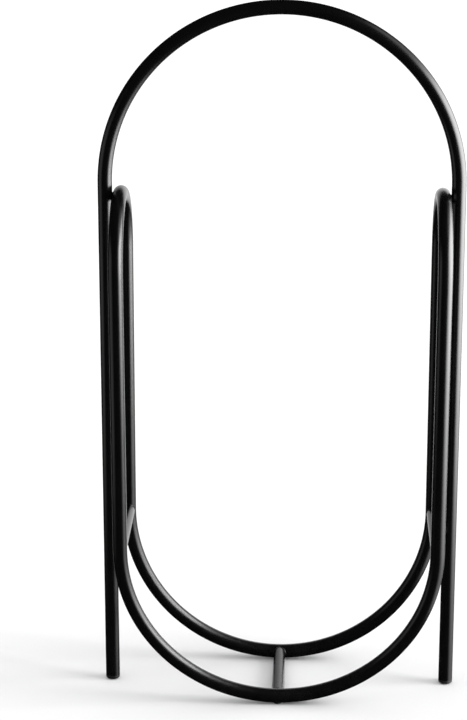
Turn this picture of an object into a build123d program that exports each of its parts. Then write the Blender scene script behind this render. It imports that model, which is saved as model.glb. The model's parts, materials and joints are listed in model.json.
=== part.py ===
"""Standing coat rack: a tall steel-tube arch that carries a folded loop of the same tube.

Frame: X is the width, Y the depth, Z is up. The origin is on the floor, at the middle of the rack.
The arch lies in the XZ plane. The loop is two U tubes, front and rear, joined at the top of their
legs by a hairpin bend on each side. Every length is in millimetres.
"""

from math import atan2, cos, degrees, sin
import os

from build123d import *

# Overall sizes.
overall_height = 1660.0
arch_radius = 405.0  # centreline of the top bend, half the leg spacing

# Stock tube.
tube_od = 33.7
tube_wall = 1.5
tube_r = tube_od / 2
bore_r = tube_r - tube_wall

# The folded loop.
crown_gap = 0.6  # between a hairpin crown and the arch leg beside it
loop_radius = arch_radius - tube_od - crown_gap  # centreline of the U bend, half the leg spacing
loop_foot_gap = 258.0  # front to rear, centre to centre, at the U bottoms
loop_top_gap = 314.0  # front to rear, centre to centre, where the hairpins start
hairpin_start = 1050.0  # height at which the straight legs end

# Feet.
pad_proud = 1.5  # how far a foot pad stands out of its plug
pad_r = 10.0
pad_depth = 4.0
plug_head = 9.0
plug_shank = 28.0
plug_fillet = 4.5
plug_clearance = 0.15  # radial, plug shank in tube
bumper_thick = 2.0  # rubber between a U bottom and the floor
bumper_r = 9.0
bumper_height = 6.0
stem_r = 3.0
stem_length = 9.0
stem_clearance = 0.1

# Tube joints, sleeved on the inside.
joint_gap = 0.2  # between two tube ends
arch_tail = 110.0  # straight tube below the top bend
hairpin_tail = 45.0  # straight tube below a hairpin bend
sleeve_half = 32.0  # sleeve length on each side of a joint
sleeve_wall = 2.5
sleeve_clearance = 0.15
sleeve_r = bore_r - sleeve_clearance

# Spacers between the front and rear U.
spacer_od = 29.0
spacer_wall = 1.5
spacer_r = spacer_od / 2
weld_gap = 0.15  # between a coped tube end and the tube that it meets
bead = 1.6  # leg length of a weld bead
crown_weld_r = 5.0

# Heights and positions that follow.
arch_spring = overall_height - tube_r - arch_radius
loop_foot_z = bumper_thick + tube_r
lean = atan2((loop_top_gap - loop_foot_gap) / 2, hairpin_start - loop_foot_z)
leg_run = (hairpin_start - loop_foot_z) / cos(lean)  # up a U's plane, from its lowest point
hairpin_radius = loop_top_gap / 2 / cos(lean)
hairpin_centre_z = hairpin_start + hairpin_radius * sin(lean)
crown_z = hairpin_centre_z + hairpin_radius
spacer_z = loop_foot_z + loop_radius * cos(lean)
arch_joint_z = arch_spring - arch_tail
hairpin_joint = leg_run - hairpin_tail  # up a U's plane, from its lowest point
leg_end_z = pad_proud + plug_head
sides = (("left", -1), ("right", 1))
ends = (("front", -1), ("rear", 1))


def gap_at(height):
    """Distance of a loop leg's centreline from the mid-plane at this height."""
    return loop_foot_gap / 2 + (height - loop_foot_z) * sin(lean) / cos(lean)


def loop_plane(way):
    """Plane of the front (-1) or rear (+1) U: origin at its lowest point, y up its legs."""
    up = Vector(0, way * sin(lean), cos(lean))
    across = Vector(1, 0, 0)
    return Plane(origin=(0, way * loop_foot_gap / 2, loop_foot_z), x_dir=across, z_dir=across.cross(up))


def u_bar(way, radius, run):
    """Round bar along a U's centreline, its legs ending `run` above the lowest point."""
    plane = loop_plane(way)
    up = plane.y_dir
    centre = plane.origin + up * loop_radius
    with BuildPart() as bar:
        for x in (-loop_radius, loop_radius):
            start = centre + Vector(x, 0, 0)
            with BuildSketch(Plane(origin=start, x_dir=(1, 0, 0), z_dir=up)):
                Circle(radius)
            extrude(amount=run - loop_radius)
        with BuildSketch(Plane(origin=centre + Vector(loop_radius, 0, 0), x_dir=(1, 0, 0), z_dir=up)):
            Circle(radius)
        revolve(axis=Axis(centre, plane.z_dir), revolution_arc=-180)
    return bar.part


def hairpin_bar(side, radius, tail):
    """Round bar along a hairpin's centreline, with a straight tail at each end."""
    centre = Vector(side * loop_radius, 0, hairpin_centre_z)
    turn = 180 + 2 * degrees(lean)
    front = centre + Vector(0, -hairpin_radius * cos(lean), -hairpin_radius * sin(lean))
    with BuildPart() as bar:
        with BuildSketch(Plane(origin=front, x_dir=(1, 0, 0), z_dir=(0, -sin(lean), cos(lean)))):
            Circle(radius)
        revolve(axis=Axis(centre, (1, 0, 0)), revolution_arc=-turn)
        for way in (-1, 1):
            start = Vector(front.X, -way * front.Y, front.Z)
            down = Vector(0, -way * sin(lean), -cos(lean))
            with BuildSketch(Plane(origin=start, x_dir=(1, 0, 0), z_dir=down)):
                Circle(radius)
            extrude(amount=tail)
    return bar.part


def save(part, name):
    """Label a sub-part and write it under its own name."""
    part.label = name
    export_step(part, f"parts/{name}.step")


os.makedirs("parts", exist_ok=True)

# Arch: a half-circle top bend with short straight tails, in one piece.
with BuildPart() as arch_top_bend:
    for radius, mode in ((tube_r, Mode.ADD), (bore_r, Mode.SUBTRACT)):
        with BuildSketch(Plane.XY.offset(arch_joint_z + joint_gap / 2)):
            with Locations((-arch_radius, 0), (arch_radius, 0)):
                Circle(radius)
        extrude(amount=arch_tail - joint_gap / 2, mode=mode)
        with BuildSketch(Plane.XY.offset(arch_spring)):
            with Locations((arch_radius, 0)):
                Circle(radius)
        revolve(axis=Axis((0, 0, arch_spring), (0, 1, 0)), revolution_arc=-180, mode=mode)
save(arch_top_bend.part, "arch_top_bend")

# Straight arch legs and the sleeves that line their joints with the top bend.
for side, sign in sides:
    with BuildPart() as arch_leg:
        with BuildSketch(Plane.XY.offset(leg_end_z)):
            with Locations((sign * arch_radius, 0)):
                Circle(tube_r)
                Circle(bore_r, mode=Mode.SUBTRACT)
        extrude(amount=arch_joint_z - joint_gap / 2 - leg_end_z)
    save(arch_leg.part, f"arch_leg_{side}")

    with BuildPart() as arch_sleeve:
        with BuildSketch(Plane.XY.offset(arch_joint_z - sleeve_half)):
            with Locations((sign * arch_radius, 0)):
                Circle(sleeve_r)
                Circle(sleeve_r - sleeve_wall, mode=Mode.SUBTRACT)
        extrude(amount=2 * sleeve_half)
        rims = arch_sleeve.edges().filter_by(GeomType.CIRCLE).filter_by(lambda e: e.radius > sleeve_r - 1)
        chamfer(rims, length=1.0)
    save(arch_sleeve.part, f"arch_sleeve_{side}")

# Folded loop: front and rear U tubes, each drilled at its lowest point for a bumper stem.
for end, way in ends:
    with BuildPart() as loop_tube:
        add(u_bar(way, tube_r, hairpin_joint - joint_gap / 2))
        add(u_bar(way, bore_r, hairpin_joint), mode=Mode.SUBTRACT)
        with BuildSketch(Plane.XY):
            with Locations((0, way * loop_foot_gap / 2)):
                Circle(stem_r + stem_clearance)
        extrude(amount=loop_foot_z, mode=Mode.SUBTRACT)
    save(loop_tube.part, f"{end}_loop_tube")

# Hairpin bends, and the two sleeves that line each one's joints with the U tubes.
for side, sign in sides:
    with BuildPart() as hairpin:
        add(hairpin_bar(sign, tube_r, hairpin_tail - joint_gap / 2))
        add(hairpin_bar(sign, bore_r, hairpin_tail), mode=Mode.SUBTRACT)
    save(hairpin.part, f"hairpin_{side}")

    with BuildPart() as hairpin_sleeves:
        for end, way in ends:
            plane = loop_plane(way)
            foot = plane.origin + plane.y_dir * (hairpin_joint - sleeve_half)
            sleeve_end = Plane(origin=foot + Vector(sign * loop_radius), x_dir=(1, 0, 0), z_dir=plane.y_dir)
            with BuildSketch(sleeve_end):
                Circle(sleeve_r)
                Circle(sleeve_r - sleeve_wall, mode=Mode.SUBTRACT)
            extrude(amount=2 * sleeve_half)
    save(hairpin_sleeves.part, f"hairpin_sleeves_{side}")

# Spacers: short tubes coped to the front and rear U, one below and one on each side, with a weld
# bead round each end.
cope = [u_bar(way, tube_r + weld_gap, leg_run) for end, way in ends]
bead_reach = [u_bar(way, tube_r + bead, leg_run) for end, way in ends]
spacer_spots = (
    ("bottom", 0.0, loop_foot_z),
    ("left", -loop_radius, spacer_z),
    ("right", loop_radius, spacer_z),
)
for spot, x, z in spacer_spots:
    span = gap_at(z)
    start = Plane(origin=(x, -span, z), x_dir=(1, 0, 0), z_dir=(0, 1, 0))
    with BuildPart() as spacer:
        with BuildSketch(start):
            Circle(spacer_r)
            Circle(spacer_r - spacer_wall, mode=Mode.SUBTRACT)
        extrude(amount=2 * span)
        for bar in cope:
            add(bar, mode=Mode.SUBTRACT)
    save(spacer.part, f"spacer_{spot}")

    with BuildPart() as spacer_welds:
        with BuildSketch(start):
            Circle(spacer_r + bead)
            Circle(spacer_r + weld_gap, mode=Mode.SUBTRACT)
        extrude(amount=2 * span)
        for bar in cope:
            add(bar, mode=Mode.SUBTRACT)
        with BuildPart(mode=Mode.PRIVATE) as reach:
            for bar in bead_reach:
                add(bar)
        add(reach.part, mode=Mode.INTERSECT)
        if spot == "bottom":
            # No bead on the underside, where the bumpers sit.
            with BuildSketch(Plane.XY):
                with Locations((0, -span), (0, span)):
                    Circle(bumper_r + weld_gap)
            extrude(amount=bumper_height + weld_gap, mode=Mode.SUBTRACT)
    save(spacer_welds.part, f"spacer_{spot}_welds")

# Crown welds: a small plug of weld metal where each hairpin crown meets the arch leg beside it.
for side, sign in sides:
    crown_plane = Plane(origin=(sign * loop_radius, 0, crown_z), x_dir=(0, 1, 0), z_dir=(sign, 0, 0))
    with BuildPart() as crown_weld:
        with BuildSketch(crown_plane):
            Circle(crown_weld_r)
        extrude(amount=arch_radius - loop_radius)
        with BuildSketch(Plane.XY.offset(crown_z - 2 * crown_weld_r)):
            with Locations((sign * arch_radius, 0)):
                Circle(tube_r + weld_gap)
        extrude(amount=4 * crown_weld_r, mode=Mode.SUBTRACT)
        add(hairpin_bar(sign, tube_r + weld_gap, 1.0), mode=Mode.SUBTRACT)
    save(crown_weld.part, f"crown_weld_{side}")

# Feet of the arch: a plug in each leg with a rounded head, and a felt pad let into the head.
for side, sign in sides:
    with BuildPart() as foot_plug:
        with BuildSketch(Plane.XY.offset(pad_proud)):
            with Locations((sign * arch_radius, 0)):
                Circle(tube_r)
        extrude(amount=plug_head)
        rim = foot_plug.faces().sort_by(Axis.Z)[0].edges()
        fillet(rim, radius=plug_fillet)
        with BuildSketch(Plane.XY.offset(leg_end_z)):
            with Locations((sign * arch_radius, 0)):
                Circle(bore_r - plug_clearance)
        extrude(amount=plug_shank)
        mouth = foot_plug.faces().sort_by(Axis.Z)[-1].edges()
        chamfer(mouth, length=1.5)
        with BuildSketch(Plane.XY.offset(leg_end_z + plug_shank)):
            with Locations((sign * arch_radius, 0)):
                Circle(bore_r - 4.0)
        extrude(amount=-plug_shank + 3.0, mode=Mode.SUBTRACT)
        with BuildSketch(Plane.XY):
            with Locations((sign * arch_radius, 0)):
                Circle(pad_r + 0.2)
        extrude(amount=pad_depth, mode=Mode.SUBTRACT)
    save(foot_plug.part, f"foot_plug_{side}")

    with BuildPart() as foot_pad:
        with BuildSketch(Plane.XY):
            with Locations((sign * arch_radius, 0)):
                Circle(pad_r)
        extrude(amount=pad_depth)
    save(foot_pad.part, f"foot_pad_{side}")

# Rubber bumpers: a saddle under each U bottom with a stem pressed up into the drilled hole.
for (end, way), bar in zip(ends, cope):
    with BuildPart() as bumper:
        with BuildSketch(Plane.XY):
            with Locations((0, way * loop_foot_gap / 2)):
                Circle(bumper_r)
        extrude(amount=bumper_height)
        add(bar, mode=Mode.SUBTRACT)
        with BuildSketch(Plane.XY.offset(bumper_thick / 2)):
            with Locations((0, way * loop_foot_gap / 2)):
                Circle(stem_r)
        extrude(amount=stem_length)
    save(bumper.part, f"{end}_bumper")
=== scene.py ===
# %% [markdown]
# # A coat rack of bent steel tube
#
# The rack is two bends of one tube: a tall arch that stands on its own two legs, and a loop folded
# in half over the inside of it. This lesson rebuilds its visible surfaces round the engineering
# model, which fixes every size and place, and then gives each surface its finish.

# %% Load the frame
import json
from math import asin, atan2, cos, degrees, pi, sin, sqrt, tan

import bmesh
import bpy
from mathutils import Matrix, Vector


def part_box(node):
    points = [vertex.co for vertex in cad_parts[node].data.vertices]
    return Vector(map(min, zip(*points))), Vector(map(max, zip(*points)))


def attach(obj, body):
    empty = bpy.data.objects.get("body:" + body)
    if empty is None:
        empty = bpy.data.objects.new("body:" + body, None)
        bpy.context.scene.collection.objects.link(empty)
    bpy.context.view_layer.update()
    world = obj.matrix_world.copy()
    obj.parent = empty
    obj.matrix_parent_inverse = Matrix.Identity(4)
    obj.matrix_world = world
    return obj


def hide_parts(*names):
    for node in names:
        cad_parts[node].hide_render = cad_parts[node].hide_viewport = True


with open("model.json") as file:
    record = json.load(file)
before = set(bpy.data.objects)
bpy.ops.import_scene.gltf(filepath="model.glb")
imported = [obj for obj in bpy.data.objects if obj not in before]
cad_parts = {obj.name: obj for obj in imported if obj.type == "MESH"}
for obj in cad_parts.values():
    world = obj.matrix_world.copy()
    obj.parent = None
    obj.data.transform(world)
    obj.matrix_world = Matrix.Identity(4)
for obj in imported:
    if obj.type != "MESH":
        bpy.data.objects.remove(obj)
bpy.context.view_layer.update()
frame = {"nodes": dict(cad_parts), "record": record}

MM = 0.001

# %% [markdown]
# ## Sizes read from the frame
#
# Every bend has a centreline, and every centreline can be read off the boxes of the engineering
# nodes. The tube radius is half the depth of an arch leg, the arch radius is the distance of that
# leg from the middle, and the loop's numbers come from the U tubes and the hairpins in the same way.
# Reading them, and not typing them in, keeps the two models together if a size is changed.

# %% Centrelines
def middle(node):
    low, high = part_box(node)
    return (low + high) / 2


leg_low, leg_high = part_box("arch_leg_right")
tube_r = (leg_high.y - leg_low.y) / 2
arch_radius = middle("arch_leg_right").x
arch_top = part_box("arch_top_bend")[1].z
arch_spring = arch_top - tube_r - arch_radius
leg_foot_z = leg_low.z

pin_low, pin_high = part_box("hairpin_right")
loop_radius = (pin_low.x + pin_high.x) / 2
hairpin_radius = pin_high.y - tube_r
crown_z = pin_high.z - tube_r
hairpin_z = crown_z - hairpin_radius

loop_foot_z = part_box("front_loop_tube")[0].z + tube_r
loop_foot_y = middle("front_bumper").y
spacer_z = middle("spacer_right").z
spacer_r = (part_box("spacer_right")[1].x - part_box("spacer_right")[0].x) / 2
lean = asin((hairpin_radius - abs(loop_foot_y)) / (hairpin_z - loop_foot_z))
for _ in range(20):
    leg_top_y = hairpin_radius * cos(lean)
    leg_top_z = hairpin_z - hairpin_radius * sin(lean)
    lean = atan2(leg_top_y - abs(loop_foot_y), leg_top_z - loop_foot_z)
print(f"tube {2000 * tube_r:.1f} mm, arch radius {1000 * arch_radius:.1f},"
      f" loop radius {1000 * loop_radius:.1f}, hairpin radius {1000 * hairpin_radius:.1f},"
      f" legs lean {degrees(lean):.2f} degrees")

# %% [markdown]
# ## Bending tube
#
# A tube bender clamps the tube, swings it round a die, feeds some straight tube and swings again. The
# same two moves are enough here. A ring of points is the cut end of the tube; extruding the ring
# gives a straight run and spinning it about the die's centre gives a bend. A ring that never turns
# about its own centre leaves long, even strips of faces, so the highlight on the tube stays straight.

# %% Straight run and bend
TUBE_SIDES = 56


def cut_end(bm, place, along, radius, sides=TUBE_SIDES):
    """The ring at the cut end of a tube, facing along the tube."""
    turn = Vector(along).to_track_quat("Z", "X").to_matrix().to_4x4()
    made = bmesh.ops.create_circle(bm, segments=sides, radius=radius,
                                   matrix=Matrix.Translation(place) @ turn)
    return list({edge for vert in made["verts"] for edge in vert.link_edges})


def feed(bm, ring, move, steps=1):
    """Feed straight tube: extrude the ring by move, in equal steps."""
    for _ in range(steps):
        made = bmesh.ops.extrude_edge_only(bm, edges=ring)["geom"]
        ends = {g for g in made if isinstance(g, bmesh.types.BMVert)}
        ring = [g for g in made if isinstance(g, bmesh.types.BMEdge) and ends.issuperset(g.verts)]
        bmesh.ops.translate(bm, vec=Vector(move) / steps, verts=list(ends))
    return ring


def swing(bm, ring, centre, axis, angle, steps):
    """Swing the ring round a die at centre."""
    verts = list({v for e in ring for v in e.verts})
    made = bmesh.ops.spin(bm, geom=verts + ring, cent=centre, axis=axis, angle=angle, steps=steps)
    return [g for g in made["geom_last"] if isinstance(g, bmesh.types.BMEdge)]


# %% [markdown]
# ## Finishing a mesh
#
# Mirrored halves are welded along their shared ring before the normals are set, so the surface is one
# closed skin. Faces are shaded smooth, and only an edge that turns sharply is marked, which keeps cut
# ends crisp while the bends stay round.

# %% Mirror, close and name a piece
SHARP_ANGLE = 0.6
pieces_made = {}
slot_of_piece = {}


def mirrored(bm, axis):
    """Mirror everything through the middle plane and weld the ring that lies on it."""
    bmesh.ops.mirror(bm, geom=bm.verts[:] + bm.edges[:] + bm.faces[:], matrix=Matrix.Identity(4),
                     merge_dist=-1, axis=axis)
    bmesh.ops.remove_doubles(bm, verts=bm.verts[:], dist=0.01 * MM)


def piece(bm, name, slot, *nodes):
    """Turn a bmesh into a finished piece that rides on the rack and stands for its nodes."""
    bmesh.ops.recalc_face_normals(bm, faces=bm.faces[:])
    for face in bm.faces:
        face.smooth = True
    mesh = bpy.data.meshes.new(name)
    bm.to_mesh(mesh)
    bm.free()
    mesh.set_sharp_from_angle(angle=SHARP_ANGLE)
    obj = bpy.data.objects.new(name, mesh)
    bpy.context.scene.collection.objects.link(obj)
    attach(obj, "root")
    if nodes:
        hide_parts(*nodes)
    pieces_made[name] = obj
    slot_of_piece[name] = slot
    print(f"{name}: {len(mesh.vertices)} points, {len(mesh.polygons)} faces")
    return obj


# %% [markdown]
# ## The arch
#
# On the real rack the top is rolled to a half circle and the legs run straight down from it to the
# floor; the joints are dressed flush before coating, so the eye reads one unbroken tube. Half of it is
# bent here, from the foot up to the highest point, and mirrored. The wall is given its thickness last,
# so that the cut end at each foot shows a real rim above the plug.

# %% Bend the arch
ARCH_BEND_STEPS = 72
TUBE_WALL = 1.5 * MM

bm = bmesh.new()
ring = cut_end(bm, (arch_radius, 0, leg_foot_z), (0, 0, 1), tube_r)
ring = feed(bm, ring, (0, 0, arch_spring - leg_foot_z), steps=12)
swing(bm, ring, (0, 0, arch_spring), (0, 1, 0), -pi / 2, ARCH_BEND_STEPS)
mirrored(bm, "X")
bmesh.ops.recalc_face_normals(bm, faces=bm.faces[:])
bmesh.ops.solidify(bm, geom=bm.faces[:], thickness=TUBE_WALL)
piece(bm, "arch_tube", "black_powder_coat", "arch_top_bend", "arch_leg_left", "arch_leg_right")

# %% [markdown]
# ## The folded loop
#
# The loop is one closed line: along the front U, up its right leg, over the hairpin, down the rear leg,
# along the rear U and back the same way on the left. It has two planes of symmetry, so a quarter of it
# is enough, from the lowest point of the front U to the crown of one hairpin. The legs lean outward a
# little as they rise, because the hairpins are wider than the gap between the two U tubes at the floor.

# %% Bend the loop
U_BEND_STEPS = 64
HAIRPIN_STEPS = 32

rise = Vector((0, -sin(lean), cos(lean)))
across_u = Vector((1, 0, 0)).cross(rise)
foot = Vector((0, loop_foot_y, loop_foot_z))
u_centre = foot + rise * loop_radius
leg_length = (leg_top_z - loop_foot_z) / cos(lean) - loop_radius

bm = bmesh.new()
ring = cut_end(bm, foot, (1, 0, 0), tube_r)
ring = swing(bm, ring, u_centre, across_u, pi / 2, U_BEND_STEPS)
ring = feed(bm, ring, rise * leg_length, steps=8)
swing(bm, ring, (loop_radius, 0, hairpin_z), (1, 0, 0), -(pi / 2 + lean), HAIRPIN_STEPS)
mirrored(bm, "X")
mirrored(bm, "Y")
piece(bm, "loop_tube", "black_powder_coat", "front_loop_tube", "rear_loop_tube",
      "hairpin_left", "hairpin_right")

# %% [markdown]
# ## Spacers
#
# Three short tubes hold the front and rear U apart. Before welding, each end is coped: cut to a saddle
# that sits on the round of the U tube. A straight tube is made here along the depth of the rack, and
# every ring near its ends is then pushed back to the surface of the tube that it meets. The U tube runs
# across under the bottom spacer and upwards past the side ones, so the saddle turns by a quarter.

# %% Cope a tube on to the loop
SPACER_SIDES = 48
WELD_ROOT = 0.15 * MM


def leg_y(z):
    """Distance of the loop's centreline from the middle plane at a height on its legs."""
    return abs(loop_foot_y) + (z - loop_foot_z) * tan(lean)


def cope_depth(x, z, spot):
    """How far a spacer's end stops short of the U tube's centreline, for a point on the end."""
    off = z - spot[1] if spot[0] == 0 else x - spot[0]
    reach = tube_r + WELD_ROOT
    return sqrt(max(reach * reach - off * off, 0.0))


spacers = {
    "bottom": (0.0, loop_foot_z),
    "left": (-loop_radius, spacer_z),
    "right": (loop_radius, spacer_z),
}
for label, spot in spacers.items():
    bm = bmesh.new()
    half = leg_y(spot[1])
    start = Vector((spot[0], -half, spot[1]))
    ring = cut_end(bm, start, (0, 1, 0), spacer_r, SPACER_SIDES)
    feed(bm, ring, (0, 2 * half, 0), steps=10)
    for v in bm.verts:
        line_y = abs(loop_foot_y) if label == "bottom" else leg_y(v.co.z)
        limit = line_y - cope_depth(v.co.x, v.co.z, spot)
        v.co.y = max(-limit, min(limit, v.co.y))
    bmesh.ops.recalc_face_normals(bm, faces=bm.faces[:])
    bmesh.ops.solidify(bm, geom=bm.faces[:], thickness=TUBE_WALL)
    piece(bm, f"{label}_spacer_tube", "black_powder_coat", f"spacer_{label}")

# %% [markdown]
# ## Weld beads
#
# A welder runs a small fillet round each coped end, and the puddle freezes in overlapping ripples about
# two millimetres apart. A thin ring spun round the spacer makes the bead. Each point of it follows the
# saddle line, and the bead's thickness rises and falls a tenth of a millimetre from ripple to ripple.
# Under powder coat the ripples stay visible as a soft, even beading.

# %% Run a bead round each end of each spacer
BEAD_R = 1.3 * MM
BEAD_SEGMENTS = 216
BEAD_SIDES = 12
RIPPLES = 44
RIPPLE_HEIGHT = 0.05


def run_bead(bm, spot, way):
    """One bead round the end of a spacer, on the front (-1) or rear (+1) U tube."""
    ring_r = spacer_r + 0.25 * BEAD_R
    old = set(bm.verts)
    upright = Matrix.Translation((ring_r, 0, 0)) @ Matrix.Rotation(pi / 2, 4, "X")
    made = bmesh.ops.create_circle(bm, segments=BEAD_SIDES, radius=BEAD_R, matrix=upright)
    edges = list({e for v in made["verts"] for e in v.link_edges})
    bmesh.ops.spin(bm, geom=made["verts"] + edges, cent=(0, 0, 0), axis=(0, 0, 1), angle=2 * pi,
                   steps=BEAD_SEGMENTS, use_merge=True)
    for v in [v for v in bm.verts if v not in old]:
        angle = atan2(v.co.y, v.co.x)
        centre = Vector((cos(angle), sin(angle), 0)) * ring_r
        swell = 1 + RIPPLE_HEIGHT * abs(sin(RIPPLES * angle / 2)) - RIPPLE_HEIGHT / 2
        from_centre = (v.co - centre) * swell
        x = spot[0] + centre.x
        z = spot[1] + centre.y
        line_y = abs(loop_foot_y) if spot[0] == 0 else leg_y(z)
        y = line_y - cope_depth(x, z, spot) - 0.35 * BEAD_R
        v.co = Vector((x + from_centre.x, way * (y - from_centre.z), z + from_centre.y))


for label, spot in spacers.items():
    bm = bmesh.new()
    for way in (-1, 1):
        run_bead(bm, spot, way)
    piece(bm, f"{label}_spacer_beads", "coated_weld", f"spacer_{label}_welds")

# %% [markdown]
# ## Crown welds
#
# Each hairpin touches its arch leg at one point. Two crossing round bars leave a gap that opens evenly
# in every direction, so the weld that fills it is a small disc, thin in the middle and thicker at its
# edge. It is spun from that section, with the same ripples round its rim.

# %% Fill the gap between each crown and its leg
CROWN_WELD_R = 4.7 * MM
CROWN_WELD_STEPS = 96
DISC_RINGS = 6
RIM_STEPS = 7


def crown_gap(radius):
    """Half the gap between the two crossing bars at this distance from where they touch."""
    touch = (arch_radius - loop_radius - 2 * tube_r) / 2
    return touch + tube_r - sqrt(tube_r ** 2 - radius ** 2 / 2)


for label, side in (("left", -1), ("right", 1)):
    bm = bmesh.new()
    outline = [bm.verts.new((0, 0, crown_gap(0)))]
    for step in range(1, DISC_RINGS + 1):
        r = CROWN_WELD_R * step / DISC_RINGS
        outline.append(bm.verts.new((r, 0, crown_gap(r))))
    rim = crown_gap(CROWN_WELD_R)
    for step in range(1, RIM_STEPS):
        a = pi * step / RIM_STEPS
        outline.append(bm.verts.new((CROWN_WELD_R + 0.8 * rim * sin(a), 0, rim * cos(a))))
    for step in range(DISC_RINGS, -1, -1):
        r = CROWN_WELD_R * step / DISC_RINGS
        outline.append(bm.verts.new((r, 0, -crown_gap(r))))
    edges = [bm.edges.new(pair) for pair in zip(outline, outline[1:])]
    bmesh.ops.spin(bm, geom=outline + edges, cent=(0, 0, 0), axis=(0, 0, 1), angle=2 * pi,
                   steps=CROWN_WELD_STEPS, use_merge=True)
    bmesh.ops.remove_doubles(bm, verts=bm.verts[:], dist=0.02 * MM)
    for v in bm.verts:
        r = sqrt(v.co.x ** 2 + v.co.y ** 2)
        if r > 0.9 * CROWN_WELD_R:
            grow = 1 + 0.012 * abs(sin(11 * atan2(v.co.y, v.co.x)))
            v.co.x *= grow
            v.co.y *= grow
    touch_x = side * (arch_radius + loop_radius) / 2
    place = Matrix.Translation((touch_x, 0, crown_z)) @ Matrix.Rotation(pi / 2, 4, "Y")
    bmesh.ops.transform(bm, matrix=place, verts=bm.verts[:])
    piece(bm, f"{label}_crown_weld", "coated_weld", f"crown_weld_{label}")

# %% [markdown]
# ## Foot plugs and pads
#
# A moulded nylon plug closes each leg. Its head is as wide as the tube and rounds off underneath, with a
# fine parting line where the two halves of the mould met. The plug is a turned shape, so one outline is
# spun once round. A disc of felt sits in a recess below, a little proud, and is all of a leg that
# touches the floor.

# %% Spin the plugs and the pads
def spun(outline, steps, place):
    """Spin an outline of (radius, height) points into a closed turned piece."""
    bm = bmesh.new()
    verts = [bm.verts.new((r, 0, z)) for r, z in outline]
    edges = [bm.edges.new(pair) for pair in zip(verts, verts[1:])]
    bmesh.ops.spin(bm, geom=verts + edges, cent=(0, 0, 0), axis=(0, 0, 1), angle=2 * pi,
                   steps=steps, use_merge=True)
    bmesh.ops.remove_doubles(bm, verts=bm.verts[:], dist=0.01 * MM)
    bmesh.ops.translate(bm, vec=place, verts=bm.verts[:])
    return bm


def arc(centre_r, centre_z, radius, first, last, steps):
    """Points of (radius, height) along a rounded corner."""
    for k in range(steps + 1):
        a = first + (last - first) * k / steps
        yield centre_r + radius * cos(a), centre_z + radius * sin(a)


PLUG_ROUND = 4.5 * MM
pad_low, pad_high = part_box("foot_pad_right")
plug_low, plug_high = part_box("foot_plug_right")
pad_r = (pad_high.x - pad_low.x) / 2
shank_r = tube_r - TUBE_WALL - 0.15 * MM
for label, side in (("left", -1), ("right", 1)):
    base = plug_low.z
    recess = pad_r + 0.2 * MM
    seam_z = base + PLUG_ROUND + 1.2 * MM
    outline = [(0.0, pad_high.z), (recess, pad_high.z)]
    outline += [(recess, base + 0.4 * MM), (recess + 0.4 * MM, base)]
    outline += arc(tube_r - PLUG_ROUND, base + PLUG_ROUND, PLUG_ROUND, -pi / 2, 0, 10)
    outline += [(tube_r, seam_z - 0.2 * MM), (tube_r - 0.15 * MM, seam_z), (tube_r, seam_z + 0.2 * MM)]
    outline += [(tube_r, leg_foot_z - 0.35 * MM), (tube_r - 0.35 * MM, leg_foot_z)]
    outline += [(shank_r, leg_foot_z)]
    outline += [(shank_r, plug_high.z - 1.5 * MM), (shank_r - 1.5 * MM, plug_high.z), (0.0, plug_high.z)]
    bm = spun(outline, 72, (side * arch_radius, 0, 0))
    piece(bm, f"{label}_foot_cap", "black_nylon", f"foot_plug_{label}")

    felt = [(0.0, pad_high.z - 0.05 * MM), (pad_r - 0.6 * MM, pad_high.z - 0.05 * MM)]
    felt += arc(pad_r - 0.6 * MM, 0.6 * MM, 0.6 * MM, 0, -pi / 2, 5)
    felt.append((0.0, 0.0))
    bm = spun(felt, 48, (side * arch_radius, 0, 0))
    piece(bm, f"{label}_felt_pad", "grey_felt", f"foot_pad_{label}")

# %% [markdown]
# ## Bumpers
#
# Where the two U bends come down to the floor, a rubber bumper spreads the weight of the line of
# contact. It is a low disc whose top is hollowed to the round of the tube, with a stem that snaps up
# into a drilled hole. The disc is spun and its top points are then dropped on to the tube's surface.

# %% Spin the bumpers and saddle their tops
bump_low, bump_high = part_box("front_bumper")
bumper_r = (bump_high.x - bump_low.x) / 2
BUMPER_SIDE = 5.2 * MM
for label, way in (("front", -1), ("rear", 1)):
    outline = [(0.0, BUMPER_SIDE), (2 * MM, BUMPER_SIDE), (4 * MM, BUMPER_SIDE), (6 * MM, BUMPER_SIDE),
               (7.5 * MM, BUMPER_SIDE)]
    outline += arc(bumper_r - 0.8 * MM, BUMPER_SIDE - 0.8 * MM, 0.8 * MM, pi / 2, 0, 4)
    outline += arc(bumper_r - 1.0 * MM, 1.0 * MM, 1.0 * MM, 0, -pi / 2, 5)
    outline.append((0.0, 0.0))
    bm = spun(outline, 64, (0, way * abs(loop_foot_y), 0))
    for v in bm.verts:
        if v.co.z > 3 * MM:
            off = v.co.y - way * abs(loop_foot_y)
            underside = loop_foot_z - sqrt(max(tube_r ** 2 - off ** 2, 0))
            v.co.z = min(v.co.z, underside - 0.1 * MM)
    piece(bm, f"{label}_rubber_bumper", "black_rubber", f"{label}_bumper")

# %% [markdown]
# ## Shader maths written as expressions
#
# A finish is easiest to read when its maths looks like maths. This small class wraps one socket, and
# each operator adds the Math node it needs. Any other node comes from one method that takes the node's
# type, its settings, and what its sockets are joined to.

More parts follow.
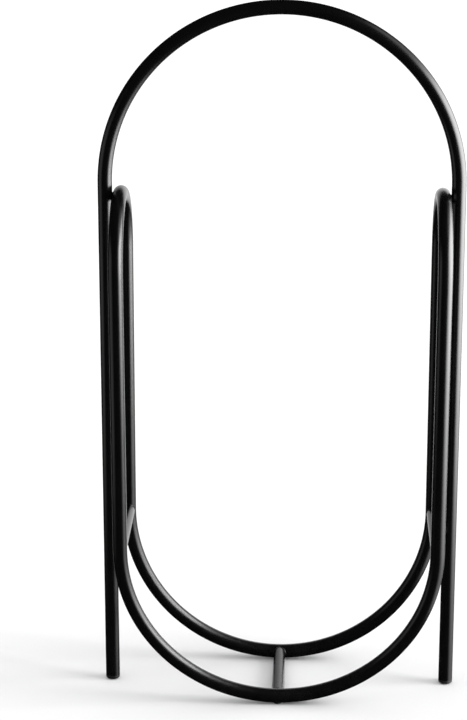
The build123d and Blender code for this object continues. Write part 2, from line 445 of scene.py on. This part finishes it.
# %% The expression class
class Line:
    """One number that varies over the surface, carried by a node socket."""

    def __init__(self, finish, socket):
        self.finish = finish
        self.socket = socket

    def maths(self, operation, first, second=None):
        values = {0: first} if second is None else {0: first, 1: second}
        return self.finish.node("ShaderNodeMath", {"operation": operation}, values)

    def __add__(self, other):
        return self.maths("ADD", self, other)

    __radd__ = __add__

    def __sub__(self, other):
        return self.maths("SUBTRACT", self, other)

    def __rsub__(self, other):
        return self.maths("SUBTRACT", other, self)

    def __mul__(self, other):
        return self.maths("MULTIPLY", self, other)

    __rmul__ = __mul__

    def __pow__(self, other):
        return self.maths("POWER", self, other)

    def size(self):
        return self.finish.node("ShaderNodeMath", {"operation": "ABSOLUTE"}, {0: self})

    def least(self, other):
        return self.maths("MINIMUM", self, other)

    def rise_between(self, low, high):
        """0 below low, 1 above high, smooth between."""
        settings = {"interpolation_type": "SMOOTHSTEP"}
        values = {"Value": self, "From Min": low, "From Max": high}
        return self.finish.node("ShaderNodeMapRange", settings, values)


class Finish:
    """A material's node tree, with its Principled shader and Object coordinates at hand."""

    def __init__(self, name, **uniform):
        self.material = bpy.data.materials.new(name)
        self.material.use_nodes = True
        self.tree = self.material.node_tree
        self.shader = self.tree.nodes["Principled BSDF"]
        for label, value in uniform.items():
            self.shader.inputs[label.replace("_", " ")].default_value = value
        self.place = self.node("ShaderNodeTexCoord", {}, {}, "Object")

    def node(self, kind, settings, inputs, output=0):
        made = self.tree.nodes.new(kind)
        for label, value in settings.items():
            setattr(made, label, value)
        for label, value in inputs.items():
            self.join(made.inputs[label], value)
        return Line(self, made.outputs[output])

    def join(self, socket, value):
        if isinstance(value, Line):
            self.tree.links.new(value.socket, socket)
        else:
            socket.default_value = value

    def noise(self, scale, detail=2.0, roughness=0.5, stretch=None):
        where = self.place
        if stretch:
            where = self.node("ShaderNodeMapping", {}, {"Vector": self.place, "Scale": stretch})
        return self.node("ShaderNodeTexNoise", {}, {"Vector": where, "Scale": scale, "Detail": detail,
                                                    "Roughness": roughness})

    def colour(self, amount, low, high):
        ramp = self.tree.nodes.new("ShaderNodeMix")
        ramp.data_type = "RGBA"
        self.join(ramp.inputs["Factor"], amount)
        ramp.inputs["A"].default_value = (*low, 1)
        ramp.inputs["B"].default_value = (*high, 1)
        return Line(self, ramp.outputs["Result"])

    def along(self, axis):
        """The Object coordinate along one axis, in metres."""
        return self.node("ShaderNodeSeparateXYZ", {}, {"Vector": self.place}, axis)

    def wear(self, base_colour, roughness, *bumps):
        """Join colour and roughness, and stack (height, distance, strength) bumps."""
        self.join(self.shader.inputs["Base Color"], base_colour)
        self.join(self.shader.inputs["Roughness"], roughness)
        normal = None
        for height, distance, strength in bumps:
            inputs = {"Height": height, "Distance": distance, "Strength": strength}
            if normal:
                inputs["Normal"] = normal
            normal = self.node("ShaderNodeBump", {}, inputs)
        if normal:
            self.join(self.shader.inputs["Normal"], normal)
        return self.material


# %% [markdown]
# ## Satin black powder coat
#
# Powder coat is sprayed on dry and melts in an oven, so it flows into a skin with a faint orange peel,
# about a millimetre and a half from dimple to dimple and a few microns deep, over a longer, lazier
# swell. Under the peel sits a finer grain. Hanger hooks leave short marks round the tube where they
# slide, on the top of the arch and on the crowns, and the lowest part of the rack collects a thin,
# even film of dust with soft edges.

# %% Powder coat
def powder_coat(name, peel_strength, gloss):
    """Satin black coat over tube or weld; gloss is its roughness where nothing has touched it."""
    finish = Finish(name, IOR=1.5, Specular_IOR_Level=0.5)
    height = finish.along("Z")
    cloud = finish.noise(9.0, 3.0, 0.55)
    grain = finish.noise(2600.0, 1.0)
    peel = finish.noise(620.0, 2.0, 0.45)
    swell = finish.noise(75.0, 1.0)
    hooks = finish.noise(420.0, 3.0, 0.7, stretch=(1.0, 0.05, 0.05)).rise_between(0.60, 0.72)
    marks = hooks * height.rise_between(1.12, 1.24) * finish.noise(14.0, 1.0).rise_between(0.45, 0.65)
    dust = (1 - height.rise_between(0.0, 0.30)) * finish.noise(26.0, 5.0, 0.7).rise_between(0.30, 0.90)
    shade = (cloud * 0.5 + dust * 0.5 + marks * 0.4).least(1.0)
    colour = finish.colour(shade, (0.0012, 0.0012, 0.0013), (0.0042, 0.0042, 0.0043))
    roughness = gloss + (cloud - 0.5) * 0.07 + (grain - 0.5) * 0.05 + dust * 0.08 + marks * 0.12
    return finish.wear(colour, roughness, (swell, 0.0006, 0.12), (peel, 0.00025, peel_strength))


black_powder_coat = powder_coat("satin_black_powder_coat", 0.20, 0.235)
coated_weld = powder_coat("powder_coat_over_weld", 0.30, 0.27)
print("coats:", black_powder_coat.name, coated_weld.name)

# %% [markdown]
# ## Nylon, rubber, felt and bare steel
#
# The foot caps are glass-filled nylon with a fine spark-eroded texture. The bumpers are matt rubber that
# has begun to bloom. The felt is a mat of pressed fibres, which shows as a fine, tangled height. The
# sleeves inside the joints are drawn steel, streaked along their length, and never see the light.

# %% The other finishes
finish = Finish("black_nylon", IOR=1.53)
texture = finish.noise(1900.0, 3.0, 0.6)
patch = finish.noise(140.0, 2.0)
black_nylon = finish.wear(finish.colour(patch, (0.005, 0.005, 0.0052), (0.010, 0.010, 0.0104)),
                          0.46 + (patch - 0.5) * 0.12, (texture, 0.00012, 0.35))

finish = Finish("black_rubber", IOR=1.51)
bloom = finish.noise(210.0, 4.0, 0.65)
rubber_colour = finish.colour(bloom.rise_between(0.45, 0.8), (0.006, 0.006, 0.006), (0.02, 0.02, 0.019))
black_rubber = finish.wear(rubber_colour, 0.68 + (bloom - 0.5) * 0.2,
                           (finish.noise(1500.0, 2.0), 0.0001, 0.3))

finish = Finish("grey_felt", IOR=1.4)
fibres = finish.noise(2400.0, 5.0, 0.75)
grey_felt = finish.wear(finish.colour(fibres, (0.05, 0.05, 0.05), (0.17, 0.17, 0.165)), 0.95,
                        (fibres, 0.0004, 0.8))

finish = Finish("drawn_steel", Metallic=1.0)
streak = finish.noise(900.0, 3.0, 0.6, stretch=(1.0, 1.0, 0.02))
drawn_steel = finish.wear(finish.colour(streak, (0.36, 0.36, 0.37), (0.52, 0.52, 0.53)),
                          0.30 + streak * 0.15, (streak, 0.0001, 0.15))

# %% Put each finish on its pieces
finishes = {
    "black_powder_coat": black_powder_coat,
    "coated_weld": coated_weld,
    "black_nylon": black_nylon,
    "black_rubber": black_rubber,
    "grey_felt": grey_felt,
    "bare_steel": drawn_steel,
}
slot_of = {part["node"]: part["material_slot"] for part in frame["record"]["subparts"]}
for name, obj in pieces_made.items():
    obj.data.materials.append(finishes[slot_of_piece[name]])
for node, obj in frame["nodes"].items():
    obj.data.materials.clear()
    obj.data.materials.append(finishes[slot_of[node]])
print("finishes on", len(pieces_made), "new pieces and", len(frame["nodes"]), "nodes")

# %% [markdown]
# ## Floor and light
#
# The rack stands on a white floor that runs out of sight. Its colour holds painted shade: darker towards
# the camera and the left, lighter away and to the right. Black tube is lit by what it reflects,
# so one large soft panel stands close on its right and draws a long highlight down every tube, a faint
# card on the left lifts the far edge, and a low panel behind greys the tops of the spacers. A separate
# soft lamp high on the right lays the shadows to the left.

# %% Floor
FLOOR_HALF = 30.0
bm = bmesh.new()
bmesh.ops.create_grid(bm, x_segments=1, y_segments=1, size=FLOOR_HALF)
mesh = bpy.data.meshes.new("studio_floor")
bm.to_mesh(mesh)
bm.free()
floor = bpy.data.objects.new("studio_floor", mesh)
bpy.context.scene.collection.objects.link(floor)
paint = Finish("floor_with_painted_shade", Specular_IOR_Level=0.0, Roughness=0.9)
# Painted shade: the floor colour is darker towards the camera and the left and lighter away and to the
# right, standing in for the light falling off across the floor.
painted_falloff = paint.along("Y") * 0.9 + paint.along("X") * 0.25
paint.join(paint.shader.inputs["Base Color"],
           paint.colour(painted_falloff.rise_between(-0.5, 1.2), (0.79, 0.79, 0.795), (0.87, 0.87, 0.87)))
mesh.materials.append(paint.material)
floor.visible_glossy = False
print("floor:", 2 * FLOOR_HALF, "m square")


# %% [markdown]
# The panel is a sheet of cloth in front of lamps, so it is brightest in the middle and fades out at its
# edges. That fade is what gives the tube a highlight with soft sides. It is a flat mesh that glows,
# seen only in reflections, and the lamp that lays the shadows is a separate one, far off and broad.

# %% Panels and lamps
def panel(name, at, look_at, size, radiance, fade):
    """A glowing cloth facing look_at, size wide and high, seen only in reflections."""
    bm = bmesh.new()
    bmesh.ops.create_grid(bm, x_segments=1, y_segments=1, size=0.5)
    bmesh.ops.scale(bm, vec=(size[0], size[1], 1), verts=bm.verts[:])
    mesh = bpy.data.meshes.new(name)
    bm.to_mesh(mesh)
    bm.free()
    obj = bpy.data.objects.new(name, mesh)
    aim = (Vector(at) - Vector(look_at)).to_track_quat("-Z", "Y")
    obj.matrix_world = Matrix.Translation(at) @ aim.to_matrix().to_4x4()
    bpy.context.scene.collection.objects.link(obj)
    cloth = Finish(f"{name}_cloth", Specular_IOR_Level=0.0, Emission_Strength=radiance)
    cloth.shader.inputs["Base Color"].default_value = (0, 0, 0, 1)
    cloth.join(cloth.shader.inputs["Emission Color"], cloth.colour(fade(cloth), (0, 0, 0), (1, 1, 1)))
    mesh.materials.append(cloth.material)
    obj.visible_camera = False
    obj.visible_diffuse = False
    obj.visible_shadow = False
    print(f"{name}: {size[0]} x {size[1]} m")


def side_fade(cloth):
    """Brightest at the height of the hairpins, dimmer to the floor, the ceiling and both sides."""
    towards_camera = cloth.along("X")
    sides = (1 - towards_camera.rise_between(0.0, 2.0)) * towards_camera.rise_between(-2.2, 0.3)
    up = cloth.along("Y")
    climb = 0.12 + 0.88 * up.rise_between(-2.1, -0.5)
    ceiling = 1 - 0.9 * up.rise_between(0.1, 1.0) - 0.1 * up.rise_between(1.9, 2.6)
    return sides * climb * ceiling


def card_fade(cloth):
    """Even in the middle and soft at all four edges."""
    sides = 1 - cloth.along("X").size().rise_between(0.5, 1.2)
    return sides * (1 - cloth.along("Y").size().rise_between(0.7, 1.2))


def back_fade(cloth):
    """Brighter on the right, soft at all four edges."""
    sides = 1 - cloth.along("X").size().rise_between(1.7, 2.6)
    edges = sides * (1 - cloth.along("Y").size().rise_between(1.5, 2.3))
    return edges * (0.35 + 0.65 * cloth.along("X").rise_between(-1.4, 1.0))


panel("right_panel", (1.70, -0.20, 1.60), (0.0, -0.20, 1.60), (4.0, 5.2), 16.0, side_fade)
panel("left_card", (-2.2, -0.6, 0.7), (0.0, -0.6, 0.7), (2.4, 2.4), 0.55, card_fade)
panel("back_panel", (0.0, 3.2, 0.55), (0.0, 0.0, 0.55), (5.2, 4.6), 1.5, back_fade)

SHADOW_LAMP_AT = (3.2, -0.35, 2.1)
SHADOW_LAMP_SPREAD = 0.50
SHADOW_LAMP_POWER = 2.0
lamp = bpy.data.lights.new("shadow_lamp", "SUN")
lamp.angle = SHADOW_LAMP_SPREAD
lamp.energy = SHADOW_LAMP_POWER
shadow_lamp = bpy.data.objects.new("shadow_lamp", lamp)
shadow_lamp.matrix_world = Vector(SHADOW_LAMP_AT).to_track_quat("Z", "Y").to_matrix().to_4x4()
shadow_lamp.visible_glossy = False
bpy.context.scene.collection.objects.link(shadow_lamp)
print("lamp:", shadow_lamp.name, "spread", round(degrees(lamp.angle), 1), "degrees")

# %% Studio surround
world = bpy.data.worlds.new("studio")
bpy.context.scene.world = world
world.use_nodes = True
tree = world.node_tree
background = tree.nodes["Background"]
ray = tree.nodes.new("ShaderNodeLightPath")
mix = tree.nodes.new("ShaderNodeMix")
mix.data_type = "RGBA"
mix.inputs["A"].default_value = (1.0, 1.0, 1.0, 1)
mix.inputs["B"].default_value = (0.01, 0.01, 0.01, 1)
tree.links.new(ray.outputs["Is Glossy Ray"], mix.inputs["Factor"])
tree.links.new(mix.outputs["Result"], background.inputs["Color"])
bpy.context.scene.view_settings.view_transform = "Standard"
print("surround:", world.name)

# %% [markdown]
# ## Camera
#
# A long lens from a little over head height keeps the two legs nearly parallel and shows the loop's
# depth, with the front U below the rear one.

# %% Camera
CAMERA_AT = (0.08113, -5.3066, 2.4647)
CAMERA_PITCH = 0.3011
CAMERA_YAW = 0.0360
CAMERA_ROLL = -0.0004
CAMERA_LENS = 118.80

turn = (Matrix.Rotation(CAMERA_YAW, 4, "Z") @ Matrix.Rotation(pi / 2 - CAMERA_PITCH, 4, "X")
        @ Matrix.Rotation(CAMERA_ROLL, 4, "Z"))
camera_data = bpy.data.cameras.new("studio_camera")
camera_data.lens = CAMERA_LENS
camera = bpy.data.objects.new("studio_camera", camera_data)
camera.matrix_world = Matrix.Translation(CAMERA_AT) @ turn
bpy.context.scene.collection.objects.link(camera)
bpy.context.scene.camera = camera
print("camera:", camera_data.lens, "mm lens,", round(degrees(CAMERA_PITCH), 1), "degrees down")

# %% [markdown]
# ## The finished pieces
#
# The visible pieces have to stay in the engineering model's box. The number of finished pieces is
# printed.

# %% Count the finished pieces
print("finished:", len(pieces_made), "pieces")
